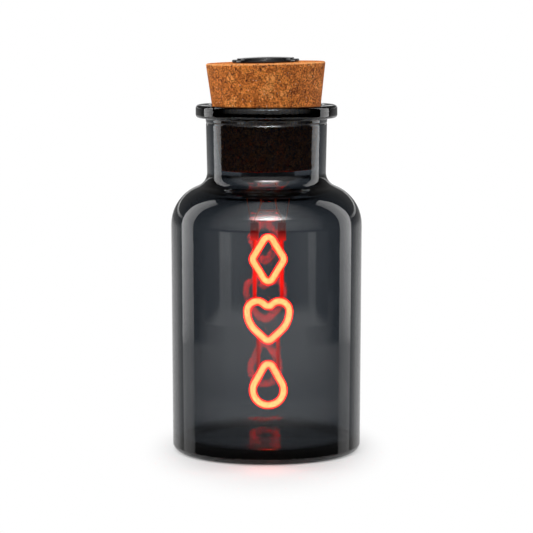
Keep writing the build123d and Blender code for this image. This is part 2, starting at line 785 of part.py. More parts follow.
# Legs between the blocks and the figures: a wire in a clear sleeve, on each side
flank = diamond_half_height * (1 - leg_spread / diamond_half_width)
lobe_offset = leg_spread - heart_half_width + heart_lobe_radius
lobe_top = heart_height + sqrt(heart_lobe_radius**2 - lobe_offset**2)
heart_side_end = tangent_point(
    heart_tip, (heart_half_width - heart_side_radius, heart_height), heart_side_radius, -1
)
heart_slope = (heart_side_end[1] - heart_tip[1]) / heart_side_end[0]
drop_slope = (drop_apex[1] - right_touch[1]) / right_touch[0]
legs = {
    "upper": (leg_spread, block_bottom - saddle_gap, diamond_height + flank, ["diamond"]),
    "middle": (leg_spread, diamond_height - flank, lobe_top, ["diamond", "heart"]),
    "lower": (
        low_leg_spread,
        heart_tip[1] + heart_slope * low_leg_spread,
        drop_apex[1] - drop_slope * low_leg_spread,
        ["heart", "drop"],
    ),
}
for leg, (spread, top, bottom, ends) in legs.items():
    for name, side in sides:
        leg_plane = Plane(origin=(string_x + side * spread, 0, bottom))
        with BuildPart() as leg_sleeve:
            with BuildSketch(leg_plane):
                Circle(leg_radius)
                Circle(leg_wire_radius + core_gap, mode=Mode.SUBTRACT)
            extrude(amount=top - bottom)
            for figure in ends:
                add(rooms[figure], mode=Mode.SUBTRACT)
        leg_sleeve.part.label = f"{leg}_leg_sleeve_{name}"
        export_step(leg_sleeve.part, f"parts/{leg}_leg_sleeve_{name}.step")
        wire_top = top + block_height / 3 if leg == "upper" else top
        with BuildPart() as leg_wire:
            with BuildSketch(leg_plane):
                Circle(leg_wire_radius)
            extrude(amount=wire_top - bottom)
            for figure in ends:
                add(rooms[figure], mode=Mode.SUBTRACT)
        leg_wire.part.label = f"{leg}_leg_wire_{name}"
        export_step(leg_wire.part, f"parts/{leg}_leg_wire_{name}.step")
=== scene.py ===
import json
from math import asin, copysign, cos, pi, radians, sin, tan

import bmesh
import bpy
from mathutils import Matrix, Vector, noise


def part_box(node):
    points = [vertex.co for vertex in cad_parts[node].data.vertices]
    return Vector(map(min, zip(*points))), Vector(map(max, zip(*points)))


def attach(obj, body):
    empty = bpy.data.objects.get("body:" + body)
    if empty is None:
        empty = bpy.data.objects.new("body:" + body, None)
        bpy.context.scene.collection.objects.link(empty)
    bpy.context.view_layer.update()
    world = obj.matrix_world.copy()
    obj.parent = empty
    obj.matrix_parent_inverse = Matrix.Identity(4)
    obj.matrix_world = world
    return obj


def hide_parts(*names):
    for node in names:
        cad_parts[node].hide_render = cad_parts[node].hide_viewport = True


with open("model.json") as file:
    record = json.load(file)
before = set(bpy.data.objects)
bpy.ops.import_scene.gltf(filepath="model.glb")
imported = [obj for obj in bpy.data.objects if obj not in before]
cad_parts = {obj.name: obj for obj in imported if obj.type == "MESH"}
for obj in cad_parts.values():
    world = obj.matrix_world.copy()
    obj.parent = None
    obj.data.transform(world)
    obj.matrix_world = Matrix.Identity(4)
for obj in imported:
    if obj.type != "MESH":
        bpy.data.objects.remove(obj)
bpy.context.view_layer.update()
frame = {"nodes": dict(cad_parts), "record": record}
nodes = frame["nodes"]

mm = 0.001

# Bottle: radii and heights of its outline, from under the base, up the outside, over the
# lip and down the inside
bottle_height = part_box("bottle")[1].z
body_radius = 46.0 * mm
base_radius = 45.4 * mm
base_round = 3.3 * mm
kick_radius = 33.5 * mm
kick_depth = 1.4 * mm
kick_round = 1.2 * mm
kick_edge_round = 0.6 * mm
shoulder_height = 123.1 * mm
shoulder_rise = 6.7 * mm
shoulder_round = 19.7 * mm
neck_radius = 28.5 * mm
neck_flare = 0.7 * mm
neck_root_round = 7.1 * mm
rim_radius = 34.0 * mm
rim_height = 6.2 * mm
rim_round = 1.6 * mm
rim_root_round = 0.9 * mm
seam_drop = 1.9 * mm
seam_height = 1.3 * mm
seam_depth = 0.25 * mm
seam_round = 0.1 * mm
mouth_radius = 26.4 * mm
mouth_round = 1.2 * mm
neck_bore = 25.7 * mm
cavity_radius = 42.8 * mm
cavity_foot_radius = 42.2 * mm
floor_thickness = 5.0 * mm
floor_round = 4.2 * mm
roof_corner_height = 120.9 * mm
roof_top_height = 126.4 * mm
roof_corner_round = 16.5 * mm
roof_root_round = 1.5 * mm
bottle_sides = 384
on_axis = 1e-7

# Cork, above the mouth in its own leaned frame. A kind of pit is given by its cells' size,
# the share of cells with a pit, and a pit's size in cells.
stopper_lean = radians(1.2)
cork_length = 51.3 * mm
cork_showing = 20.2 * mm
cork_top_radius = 28.7 * mm
cork_bottom_radius = 22.2 * mm
cork_edge_round = 0.7 * mm
cork_bore = 13.1 * mm
recess_radius = 15.4 * mm
recess_depth = 2.75 * mm
pit_depth = 0.35 * mm
small_pits = (1.15 * mm, 0.42, 0.50)
large_pits = (2.3 * mm, 0.35, 0.32)
fine_step = 0.3 * mm
coarse_step = 0.6 * mm
# How far in from the cork's top edge its painted highlight reaches.
top_highlight_width = 0.75 * mm
cork_sides = 640

# Fine side leads. The run is how far each point is inwards, back and up from where the
# lead leaves the end plate. It ends in the top of a block.
side_lead_radius = 0.17 * mm
side_lead_spread = 10.2 * mm
side_clamp_offset = 1.2 * mm
side_clamp_rises = (1.6 * mm, -0.4 * mm)
side_lead_run = [
    (0, 0, 0.6 * mm),
    (0, 0, -1.5 * mm),
    (0.4 * mm, -0.4 * mm, -5.0 * mm),
    (1.0 * mm, -0.6 * mm, -10.0 * mm),
    (1.6 * mm, -0.4 * mm, -14.0 * mm),
]

# Camera
camera_distance = 1.2
camera_height = 0.2198
camera_pitch = radians(6.22)
camera_lens = 168.7
camera_sensor = 36.0


def link(piece):
    """Put an object into the scene."""
    bpy.context.scene.collection.objects.link(piece)
    return piece


def mesh_piece(name, mesh, body, material):
    """Make an object of a mesh, give it its material and let it ride on a body."""
    piece = link(bpy.data.objects.new(name, mesh))
    piece.data.materials.append(material)
    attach(piece, body)
    return piece


# Materials: lengths, scales and strengths that they share or that set their look. Bare is
# the share of a glow that is left where nothing stands in front of it, and walls is how many
# faces of glass and sleeve light crosses there at most.
flake_scale = 260.0
flake_waver = 2.2 * mm
cork_relief = 0.3 * mm
glass_relief = 0.04 * mm
smoke_density = 517.0
smoke_colour = (0.02, 0.063, 0.112)
filament_strength = 12.5
filament_bare = 0.11
filament_walls = 2.5
silicone_strength = 9.0
silicone_bare = 0.08
silicone_ior = 1.08
silicone_density = 700.0
sleeve_bare = 0.3
wire_bare = 0.15
tube_walls = 1.5
# The red of the glow painted on the sleeves and blocks.
painted_glow_red = (1.0, 0.012, 0.004)


def new_material(name):
    """A node material with its tree and its shader."""
    material = bpy.data.materials.new(name)
    material.use_nodes = True
    tree = material.node_tree
    shader = tree.nodes["Principled BSDF"]
    return material, tree, shader


def add_node(tree, kind, **settings):
    """A node whose settings are values of its inputs or its own properties."""
    node = tree.nodes.new(kind)
    for key, value in settings.items():
        if key in node.inputs:
            node.inputs[key].default_value = value
        else:
            setattr(node, key, value)
    return node


def object_noise(tree, scale, detail=3.0, roughness=0.5):
    """Noise that is fixed to the object, its scale in cells per metre."""
    place = add_node(tree, "ShaderNodeTexCoord")
    grain = add_node(tree, "ShaderNodeTexNoise", Scale=scale, Detail=detail, Roughness=roughness)
    tree.links.new(place.outputs["Object"], grain.inputs["Vector"])
    return grain


def ramp(tree, source, stops):
    """Colours along a value from nought to one."""
    node = tree.nodes.new("ShaderNodeValToRGB")
    while len(node.color_ramp.elements) < len(stops):
        node.color_ramp.elements.new(0.5)
    for element, (place, colour) in zip(node.color_ramp.elements, stops):
        element.position = place
        element.color = (*colour, 1.0)
    tree.links.new(source, node.inputs["Fac"])
    return node


def bump(tree, shader, source, distance):
    """Fine relief, as deep as the distance."""
    node = add_node(tree, "ShaderNodeBump", Distance=distance, Strength=1.0)
    tree.links.new(source, node.inputs["Height"])
    tree.links.new(node.outputs["Normal"], shader.inputs["Normal"])


def in_range(tree, source, low, high, first=0.0, last=1.0):
    """A value that goes from the first to the last as its source goes from low to high."""
    node = add_node(tree, "ShaderNodeMapRange")
    for name, value in (("From Min", low), ("From Max", high), ("To Min", first), ("To Max", last)):
        node.inputs[name].default_value = value
    tree.links.new(source, node.inputs["Value"])
    return node.outputs["Result"]


def combined(tree, operation, first, second):
    """Two values combined. The second may be a plain number."""
    node = add_node(tree, "ShaderNodeMath", operation=operation)
    tree.links.new(first, node.inputs[0])
    if isinstance(second, bpy.types.NodeSocket):
        tree.links.new(second, node.inputs[1])
    else:
        node.inputs[1].default_value = second
    return node.outputs["Value"]


def mixed(tree, factor, first, second, kind="MIX"):
    """Two colours mixed or multiplied. Each may be a socket or a plain value."""
    mixer = add_node(tree, "ShaderNodeMix", data_type="RGBA", blend_type=kind)
    sockets = (mixer.inputs[0], mixer.inputs[6], mixer.inputs[7])
    for socket, value in zip(sockets, (factor, first, second)):
        if isinstance(value, bpy.types.NodeSocket):
            tree.links.new(value, socket)
        else:
            socket.default_value = value if isinstance(value, float) else (*value, 1.0)
    return mixer.outputs[2]


def seen_level(tree, glow, plain, walls=tube_walls):
    """Colours of a glow: at full strength behind the bottle's glass, where they shine
    through it, and down to a plain level where fewer walls stand in front."""
    path = add_node(tree, "ShaderNodeLightPath")
    bare = combined(tree, "LESS_THAN", path.outputs["Transmission Depth"], walls)
    dimmed = mixed(tree, 1.0, glow, (plain, plain, plain), "MULTIPLY")
    return mixed(tree, bare, glow, dimmed)


def plain_material(name, dark, light, scale, roughness, metallic=0.0, depth=0.02 * mm,
                   glow=(0.0, 0.0, 0.0), painted_glow_strength=0.0):
    """A surface whose colour, gloss and relief vary a little over it, with a painted glow where one is
    given.
    """
    material, tree, shader = new_material(name)
    grain = object_noise(tree, scale)
    colours = ramp(tree, grain.outputs["Fac"], [(0.3, dark), (0.7, light)])
    tree.links.new(colours.outputs["Color"], shader.inputs["Base Color"])
    rough = in_range(tree, grain.outputs["Fac"], 0.0, 1.0, *roughness)
    tree.links.new(rough, shader.inputs["Roughness"])
    shader.inputs["Metallic"].default_value = metallic
    # A painted glow: light that the figures throw on the piece, painted into its emission.
    if painted_glow_strength:
        dim_painted_glow = tuple(0.6 * part for part in glow)
        lit = ramp(tree, grain.outputs["Fac"], [(0.3, dim_painted_glow), (0.7, glow)])
        tree.links.new(seen_level(tree, lit.outputs["Color"], wire_bare), shader.inputs["Emission Color"])
        shader.inputs["Emission Strength"].default_value = painted_glow_strength
    bump(tree, shader, grain.outputs["Fac"], depth)
    return material


def glass_material():
    """Clear glass whose smoke is all in its depth, with slight waves on its faces."""
    material, tree, shader = new_material("smoked_glass")
    shader.inputs["Base Color"].default_value = (1.0, 1.0, 1.0, 1.0)
    shader.inputs["Transmission Weight"].default_value = 1.0
    shader.inputs["Roughness"].default_value = 0.0
    shader.inputs["IOR"].default_value = 1.5
    waves = object_noise(tree, 22.0, detail=1.0)
    bump(tree, shader, waves.outputs["Fac"], glass_relief)
    smoke = add_node(tree, "ShaderNodeVolumeAbsorption", Density=smoke_density)
    smoke.inputs["Color"].default_value = (*smoke_colour, 1.0)
    tree.links.new(smoke.outputs["Volume"], tree.nodes["Material Output"].inputs["Volume"])
    return material


def dots(tree, place, scale, share, size, edge):
    """One in small dots strewn over the surface, in a share of the cells, else nought."""
    cells = add_node(tree, "ShaderNodeTexVoronoi", Scale=scale)
    tree.links.new(place, cells.inputs["Vector"])
    pick = add_node(tree, "ShaderNodeSeparateColor")
    tree.links.new(cells.outputs["Color"], pick.inputs["Color"])
    left_out = combined(tree, "GREATER_THAN", pick.outputs["Red"], share)
    far = combined(tree, "ADD", cells.outputs["Distance"], left_out)
    return ramp(tree, far, [(size, (1, 1, 1)), (size + edge, (0, 0, 0))]).outputs["Color"]


def cork_material():
    """Pressed cork: soft flakes of orange browns with dark seams between some of them, fine
    grain, dark pits, pale specks and a painted highlight along its top edge."""
    material, tree, shader = new_material("cork")
    place = add_node(tree, "ShaderNodeTexCoord").outputs["Object"]
    flakes = add_node(
        tree, "ShaderNodeTexVoronoi", feature="SMOOTH_F1", Scale=flake_scale, Smoothness=0.25
    )
    warp = object_noise(tree, 500.0, detail=2.0)
    shift = add_node(tree, "ShaderNodeVectorMath", operation="MULTIPLY_ADD")
    shift.inputs[1].default_value = (flake_waver, flake_waver, flake_waver)
    tree.links.new(warp.outputs["Color"], shift.inputs[0])
    tree.links.new(place, shift.inputs[2])
    tree.links.new(shift.outputs["Vector"], flakes.inputs["Vector"])
    pick = add_node(tree, "ShaderNodeSeparateColor")
    tree.links.new(flakes.outputs["Color"], pick.inputs["Color"])
    colour = ramp(tree, pick.outputs["Red"], [
        (0.1, (0.62, 0.172, 0.024)),
        (0.5, (0.76, 0.220, 0.033)),
        (0.75, (0.84, 0.265, 0.043)),
        (0.95, (0.92, 0.335, 0.072)),
    ]).outputs["Color"]
    grain = object_noise(tree, 1250.0, detail=4.0, roughness=0.7)
    shade = ramp(tree, grain.outputs["Fac"], [
        (0.36, (0.30, 0.24, 0.20)),
        (0.45, (0.80, 0.76, 0.72)),
        (0.55, (1.10, 1.12, 1.15)),
        (0.66, (1.60, 1.85, 2.30)),
    ]).outputs["Color"]
    colour = mixed(tree, 1.0, colour, shade, "MULTIPLY")
    seams = add_node(tree, "ShaderNodeTexVoronoi", feature="DISTANCE_TO_EDGE", Scale=flake_scale)
    tree.links.new(shift.outputs["Vector"], seams.inputs["Vector"])
    off_seam = in_range(tree, seams.outputs["Distance"], 0.02, 0.09)
    breaks = object_noise(tree, 420.0, detail=1.0)
    closed = in_range(tree, breaks.outputs["Fac"], 0.42, 0.62, 1.0, 0.0)
    plain_cork = combined(tree, "MAXIMUM", off_seam, closed)
    seam_colour = mixed(tree, 1.0, colour, (0.45, 0.36, 0.30), "MULTIPLY")
    colour = mixed(tree, plain_cork, seam_colour, colour)
    colour = mixed(tree, dots(tree, place, 950.0, 0.34, 0.17, 0.14), colour, (0.07, 0.022, 0.008))
    colour = mixed(tree, dots(tree, place, 800.0, 0.16, 0.13, 0.12), colour, (0.95, 0.62, 0.34))
    # Dark pits, and a painted highlight along the top edge where the light from above catches the cork.
    for attribute, tone in (("pit", (0.035, 0.012, 0.005)), ("edge", (0.95, 0.46, 0.17))):
        spot = add_node(tree, "ShaderNodeAttribute", attribute_name=attribute)
        colour = mixed(tree, spot.outputs["Fac"], colour, tone)
    tree.links.new(colour, shader.inputs["Base Color"])
    shader.inputs["Roughness"].default_value = 0.9
    shader.inputs["Specular IOR Level"].default_value = 0.25
    bump(tree, shader, grain.outputs["Fac"], cork_relief)
    return material


def lit_material():
    """The glowing filament, amber in front and red at its back, uneven along the strip."""
    material, tree, shader = new_material("lit_core")
    grain = object_noise(tree, 260.0, detail=2.0)
    front = ramp(tree, grain.outputs["Fac"], [(0.3, (1.0, 0.37, 0.14)), (0.7, (1.0, 0.45, 0.19))])
    facing = add_node(tree, "ShaderNodeTexCoord")
    parts = add_node(tree, "ShaderNodeSeparateXYZ")
    tree.links.new(facing.outputs["Normal"], parts.inputs["Vector"])
    side = in_range(tree, parts.outputs["Y"], -0.2, 0.3)
    glow = mixed(tree, side, front.outputs["Color"], (0.35, 0.012, 0.002))
    tree.links.new(seen_level(tree, glow, filament_bare, filament_walls), shader.inputs["Emission Color"])
    tree.links.new(front.outputs["Color"], shader.inputs["Base Color"])
    shader.inputs["Emission Strength"].default_value = filament_strength
    shader.inputs["Roughness"].default_value = 0.5
    return material


def red_tube_material():
    """Translucent red silicone that glows where the core lights it."""
    material, tree, shader = new_material("red_silicone")
    shader.inputs["Base Color"].default_value = (1.0, 0.80, 0.70, 1.0)
    shader.inputs["Transmission Weight"].default_value = 1.0
    shader.inputs["IOR"].default_value = silicone_ior
    shader.inputs["Roughness"].default_value = 0.12
    grain = object_noise(tree, 300.0)
    glow = ramp(tree, grain.outputs["Fac"], [(0.3, (1.0, 0.004, 0.0)), (0.7, (1.0, 0.008, 0.0))])
    tree.links.new(seen_level(tree, glow.outputs["Color"], silicone_bare), shader.inputs["Emission Color"])
    shader.inputs["Emission Strength"].default_value = silicone_strength
    tint = add_node(tree, "ShaderNodeVolumeAbsorption", Density=silicone_density)
    tint.inputs["Color"].default_value = (1.0, 0.25, 0.02, 1.0)
    tree.links.new(tint.outputs["Volume"], tree.nodes["Material Output"].inputs["Volume"])
    return material


def translucent_material(name, colour, roughness, glow, painted_glow_heights):
    """A clear red piece with a painted red glow, for the light that the figures throw on it, set by its
    height above the floor.
    """
    material, tree, shader = new_material(name)
    grain = object_noise(tree, 400.0)
    low = tuple(0.75 * part for part in colour)
    shades = ramp(tree, grain.outputs["Fac"], [(0.3, low), (0.7, colour)])
    tree.links.new(shades.outputs["Color"], shader.inputs["Base Color"])
    place = add_node(tree, "ShaderNodeTexCoord")
    parts = add_node(tree, "ShaderNodeSeparateXYZ")
    tree.links.new(place.outputs["Object"], parts.inputs["Vector"])
    rise = in_range(tree, parts.outputs["Z"], 0.0, bottle_height)
    lit = ramp(tree, rise, [
        (height * mm / bottle_height, tuple(part * level for part in painted_glow_red))
        for height, level in painted_glow_heights
    ])
    tree.links.new(seen_level(tree, lit.outputs["Color"], sleeve_bare), shader.inputs["Emission Color"])
    shader.inputs["Emission Strength"].default_value = glow
    shader.inputs["Transmission Weight"].default_value = 0.6
    shader.inputs["Roughness"].default_value = roughness
    shader.inputs["IOR"].default_value = 1.42
    return material


finishes = {
    "smoked_glass": glass_material(),
    "cork": cork_material(),
    "black_gloss": plain_material(
        "black_gloss", (0.004, 0.004, 0.005), (0.009, 0.009, 0.010), 180.0, (0.03, 0.07),
        depth=0.004 * mm,
    ),
    "black_matte": plain_material(
        "black_matte", (0.012, 0.012, 0.013), (0.022, 0.022, 0.024), 900.0, (0.45, 0.6)
    ),
    "red_silicone": red_tube_material(),
    "lit_core": lit_material(),
    # The sleeves and blocks get a painted red glow, by height in millimetres and level.
    "clear_sleeve": translucent_material("clear_sleeve", (0.85, 0.05, 0.02), 0.25, 2.0, [
        (30, 0.35), (42, 0.12), (56, 0.3), (64, 1.0), (74, 0.55), (84, 0.9), (95, 0.5), (103, 0.8),
    ]),
    "red_block": translucent_material("red_block", (0.10, 0.003, 0.002), 0.3, 2.6, [
        (102.0, 1.0), (104.5, 0.42), (107.5, 0.10), (112, 0.015),
    ]),
    # The copper wire's faint red glow is painted light from the figures.
    "copper_wire": plain_material(
        "copper_wire", (0.55, 0.17, 0.07), (0.75, 0.28, 0.13), 1500.0, (0.25, 0.4), metallic=1.0,
        glow=(1.0, 0.05, 0.015), painted_glow_strength=0.3,
    ),
    "steel": plain_material(
        "steel", (0.5, 0.5, 0.52), (0.62, 0.62, 0.64), 1200.0, (0.25, 0.35), metallic=1.0
    ),
    "nickel": plain_material(
        "nickel", (0.55, 0.53, 0.49), (0.68, 0.65, 0.6), 1200.0, (0.25, 0.35), metallic=1.0
    ),
    "board": plain_material("board", (0.01, 0.08, 0.035), (0.02, 0.14, 0.06), 700.0, (0.3, 0.45)),
    "chip": plain_material("chip", (0.02, 0.02, 0.022), (0.04, 0.04, 0.045), 1500.0, (0.5, 0.65)),
    "cell": plain_material("cell", (0.06, 0.15, 0.32), (0.1, 0.22, 0.42), 300.0, (0.3, 0.4)),
    "ribbon": plain_material("ribbon", (0.5, 0.24, 0.04), (0.7, 0.38, 0.07), 800.0, (0.3, 0.4)),
}
slot_of = {part["node"]: part["material_slot"] for part in frame["record"]["subparts"]}
for node, thing in nodes.items():
    thing.data.materials.clear()
    thing.data.materials.append(finishes[slot_of[node]])
    thing.data.polygons.foreach_set("use_smooth", [True] * len(thing.data.polygons))


# Shapes

def rounded_outline(corners, steps=10):
    """Points of an outline whose corners are rounded by arcs."""
    points = [Vector(corners[0][0])]
    for before, (corner, rounding), after in zip(corners, corners[1:], corners[2:]):
        here = Vector(corner)
        if not rounding:
            points.append(here)
            continue
        back = (Vector(before[0]) - here).normalized()
        ahead = (Vector(after[0]) - here).normalized()
        half = back.angle(ahead) / 2
        centre = here + (back + ahead).normalized() * (rounding / sin(half))
        start = here + back * (rounding / tan(half)) - centre
        turn = start.angle_signed(here + ahead * (rounding / tan(half)) - centre)
        for step in range(steps + 1):
            share = step / steps
            points.append(centre + Matrix.Rotation(-turn * share, 2) @ start)
    points.append(Vector(corners[-1][0]))
    return points


def lathe(name, outline, sides):
    """A closed turned mesh. The outline runs from the axis and back to it."""
    shape = bmesh.new()
    rings = []
    for point in outline:
        if point.x < on_axis:
            rings.append([shape.verts.new((0, 0, point.y))])
            continue
        turns = [2 * pi * side / sides for side in range(sides)]
        rings.append([shape.verts.new((point.x * cos(a), point.x * sin(a), point.y)) for a in turns])
    for lower, upper in zip(rings, rings[1:]):
        for side in range(sides):
            after = (side + 1) % sides
            corners = [lower[side % len(lower)], lower[after % len(lower)],
                       upper[after % len(upper)], upper[side % len(upper)]]
            face = list(dict.fromkeys(corners))
            shape.faces.new(face).smooth = True
    bmesh.ops.recalc_face_normals(shape, faces=shape.faces)
    mesh = bpy.data.meshes.new(name)
    shape.to_mesh(mesh)
    shape.free()
    return mesh


rim_bottom = bottle_height - rim_height
seam_top = rim_bottom - seam_drop
neck_top_radius = neck_radius + neck_flare
bottle_outline = rounded_outline([
    ((0, kick_depth), 0),
    ((kick_radius, kick_depth), kick_round),
    ((kick_radius, 0), kick_edge_round),
    ((base_radius, 0), base_round),
    ((body_radius, shoulder_height), shoulder_round),
    ((neck_radius, shoulder_height + shoulder_rise), neck_root_round),
    ((neck_top_radius - neck_flare / 5, seam_top - seam_height), seam_round),
    ((neck_top_radius - neck_flare / 6 - seam_depth, seam_top - seam_height / 2), seam_round),
    ((neck_top_radius - neck_flare / 7, seam_top), seam_round),
    ((neck_top_radius, rim_bottom), rim_root_round),
    ((rim_radius, rim_bottom), rim_round),
    ((rim_radius, bottle_height), rim_round),
    ((mouth_radius, bottle_height), mouth_round),
    ((neck_bore, roof_top_height), roof_root_round),
    ((cavity_radius, roof_corner_height), roof_corner_round),
    ((cavity_foot_radius, floor_thickness), floor_round),
    ((0, floor_thickness), 0),
])
glass = mesh_piece(
    "glass_bottle", lathe("glass_bottle", bottle_outline, bottle_sides), "bottle",
    finishes["smoked_glass"],
)
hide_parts("bottle")


def pit_share(place, cell, share, size):
    """How deep a pit is here, from nought to one, where a share of the cells have a pit."""
    distances, points = noise.voronoi(place / cell)
    pick = (noise.cell(points[0] * 7.3) + 1) / 2
    if pick > share:
        return 0.0
    reach = size * (0.45 + 0.55 * pick / share)
    return max(0.0, 1 - (distances[0] / reach)**2)


def in_steps(points, step):
    """The same line with more points, so that none is further than a step from the next."""
    line = [points[0]]
    for start, end in zip(points, points[1:]):
        count = max(1, round((end - start).length / step(start)))
        line += [start.lerp(end, (index + 1) / count) for index in range(count)]
    return line


def pressed_cork(sides):
    """The cork's outside with its pits cut into it, closed through its bore and recess."""
    bottom = cork_showing - cork_length
    skin = rounded_outline([
        ((cork_bore, bottom), 0),
        ((cork_bottom_radius, bottom), cork_edge_round),
        ((cork_top_radius, cork_showing), cork_edge_round),
        ((recess_radius, cork_showing), 0),
    ], 6)
    skin = in_steps(skin, lambda point: fine_step if point.y > 0 else coarse_step)
    core = [(recess_radius, cork_showing - recess_depth), (cork_bore, cork_showing - recess_depth)]
    outline = skin + [Vector(point) for point in core]
    seat = Matrix.Translation((0, 0, bottle_height)) @ Matrix.Rotation(-stopper_lean, 4, "Y")
    corners = []
    pits = []
    top_highlight_shares = []
    for index, point in enumerate(outline):
        inside = index in (0, len(skin) - 1) or index >= len(skin)
        along = outline[(index + 1) % len(outline)] - outline[index - 1]
        inward = Vector((-along.y, along.x)).normalized()
        # Painted highlight along the top edge, fading over a short width and left out of the pits.
        top_edge_highlight = max(0.0, 1 - (point - Vector((cork_top_radius, cork_showing))).length / top_highlight_width)
        for side in range(sides):
            turn = 2 * pi * side / sides
            place = Vector((point.x * cos(turn), point.x * sin(turn), point.y))
            deep = 0.0
            if not inside:
                deep = max(
                    pit_share(place, *small_pits),
                    pit_share(place + Vector((1, 1, 1)), *large_pits),
                )
                size = point.x + inward.x * pit_depth * deep
                height = point.y + inward.y * pit_depth * deep
                place = Vector((size * cos(turn), size * sin(turn), height))
            corners.append(seat @ place)
            pits.append(min(1.0, 1.6 * deep))
            top_highlight_shares.append(min(1.0, 1.4 * top_edge_highlight) * (1 - deep))
    faces = []
    for ring in range(len(outline)):
        upper = (ring + 1) % len(outline)
        for side in range(sides):
            after = (side + 1) % sides
            faces.append((ring * sides + side, ring * sides + after,
                          upper * sides + after, upper * sides + side))
    mesh = bpy.data.meshes.new("pressed_cork")
    mesh.from_pydata(corners, [], faces)
    mesh.attributes.new("pit", "FLOAT", "POINT").data.foreach_set("value", pits)
    mesh.attributes.new("edge", "FLOAT", "POINT").data.foreach_set("value", top_highlight_shares)
    mesh.polygons.foreach_set("use_smooth", [True] * len(faces))
    mesh.update()
    return mesh


cork = mesh_piece("pressed_cork", pressed_cork(cork_sides), "stopper", finishes["cork"])
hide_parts("cork_stopper")


def side_lead(name, side, block):
    """A fine bare wire from the end plate, past the ring, to the outer end of a block."""
    low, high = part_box(block)
    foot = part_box("end_plate")
    middle = (foot[0].x + foot[1].x) / 2
    plate = foot[0].z
    clamp = (low.x + high.x) / 2 + side * side_clamp_offset
    reach = middle + side * side_lead_spread
    points = [(reach - side * inwards, back, plate + up) for inwards, back, up in side_lead_run]
    points += [(clamp, 0, high.z + rise) for rise in side_clamp_rises]
    curve = bpy.data.curves.new(name, "CURVE")
    curve.dimensions = "3D"
    curve.bevel_depth = side_lead_radius
    curve.bevel_resolution = 3
    curve.use_fill_caps = True
    spline = curve.splines.new("NURBS")
    spline.points.add(len(points) - 1)
    for knot, point in zip(spline.points, points):
        knot.co = (*point, 1.0)
    spline.order_u = 3
    spline.use_endpoint_u = True
    line = bpy.data.objects.new(name + "_line", curve)
    mesh = bpy.data.meshes.new_from_object(line)
    bpy.data.objects.remove(line)
    mesh.materials.clear()
    return mesh_piece(name, mesh, "stopper", finishes["copper_wire"])


side_lead("side_lead_left", -1, "terminal_block_left")
side_lead("side_lead_right", 1, "terminal_block_right")

# Floor, backdrop and light
camera_data = bpy.data.cameras.new("camera")
camera_data.lens = camera_lens
camera_data.sensor_width = camera_sensor
camera = link(bpy.data.objects.new("camera", camera_data))
camera.location = (0, -camera_distance, camera_height)
camera.rotation_euler = (pi / 2 - camera_pitch, 0, 0)
bpy.context.scene.camera = camera

# Near the bottle the floor is a lit grey with a faint glow, which takes the bottle's real shadow; further
# out it fades to even white. This fade, stretched to the sides, is painted shade: it sets how far the
# darker floor round the base reaches.
fill_strength = 0.55
floor_grey = 0.735
floor_glow = 0.075
floor_stretch = 2.1
floor_size = 6.0
floor_drop = 0.1 * mm
fade_start = 0.06
fade_end = 0.13


def seen_rays(tree):
    """One for the rays that show a surface: straight, mirrored or through glass, but not
    for those that light a matt surface behind the glass."""
    path = add_node(tree, "ShaderNodeLightPath").outputs
    seen = combined(tree, "MAXIMUM", path["Is Camera Ray"], path["Is Glossy Ray"])
    seen = combined(tree, "MAXIMUM", seen, path["Is Transmission Ray"])
    return combined(tree, "MULTIPLY", seen, combined(tree, "LESS_THAN", path["Diffuse Depth"], 0.5))


world = bpy.data.worlds.new("studio")
world.use_nodes = True
bpy.context.scene.world = world
sky = world.node_tree.nodes["Background"]
sky.inputs["Color"].default_value = (1.0, 1.0, 1.0, 1.0)
level = in_range(world.node_tree, seen_rays(world.node_tree), 0.0, 1.0, fill_strength, 1.0)
world.node_tree.links.new(level, sky.inputs["Strength"])


def stage_piece(name, corners, faces, material):
    """A mesh of the studio, which is no part of the object."""
    mesh = bpy.data.meshes.new(name)
    mesh.from_pydata(corners, [], faces)
    piece = link(bpy.data.objects.new(name, mesh))
    piece.data.materials.append(material)
    return piece


floor_material, tree, shader = new_material("studio_floor")
shader.inputs["Base Color"].default_value = (floor_grey, floor_grey, floor_grey, 1.0)
shader.inputs["Roughness"].default_value = 1.0
shader.inputs["Specular IOR Level"].default_value = 0.0
shader.inputs["Emission Color"].default_value = (1.0, 1.0, 1.0, 1.0)
seen = seen_rays(tree)
tree.links.new(combined(tree, "MULTIPLY", seen, floor_glow), shader.inputs["Emission Strength"])
far = add_node(tree, "ShaderNodeEmission")
tree.links.new(seen, far.inputs["Strength"])
# Painted shade: the fade from the lit grey round the base to even white, stretched to the sides.
spot = add_node(tree, "ShaderNodeTexCoord")
wide = add_node(tree, "ShaderNodeVectorMath", operation="MULTIPLY")
wide.inputs[1].default_value = (floor_stretch, 1.0, 1.0)
tree.links.new(spot.outputs["Object"], wide.inputs[0])
reach = add_node(tree, "ShaderNodeVectorMath", operation="LENGTH")
tree.links.new(wide.outputs["Vector"], reach.inputs[0])
fade = add_node(tree, "ShaderNodeMapRange", interpolation_type="SMOOTHSTEP")
fade.inputs["From Min"].default_value = fade_start
fade.inputs["From Max"].default_value = fade_end
tree.links.new(reach.outputs["Value"], fade.inputs["Value"])
blend = add_node(tree, "ShaderNodeMixShader")
tree.links.new(fade.outputs["Result"], blend.inputs["Fac"])
tree.links.new(shader.outputs["BSDF"], blend.inputs[1])
tree.links.new(far.outputs["Emission"], blend.inputs[2])
tree.links.new(blend.outputs["Shader"], tree.nodes["Material Output"].inputs["Surface"])
half = floor_size / 2
stage_piece(
    "studio_floor",
    [(x, y, -floor_drop) for x, y in ((-half, -half), (half, -half), (half, half), (-half, half))],
    [(0, 1, 2, 3)],
    floor_material,
)

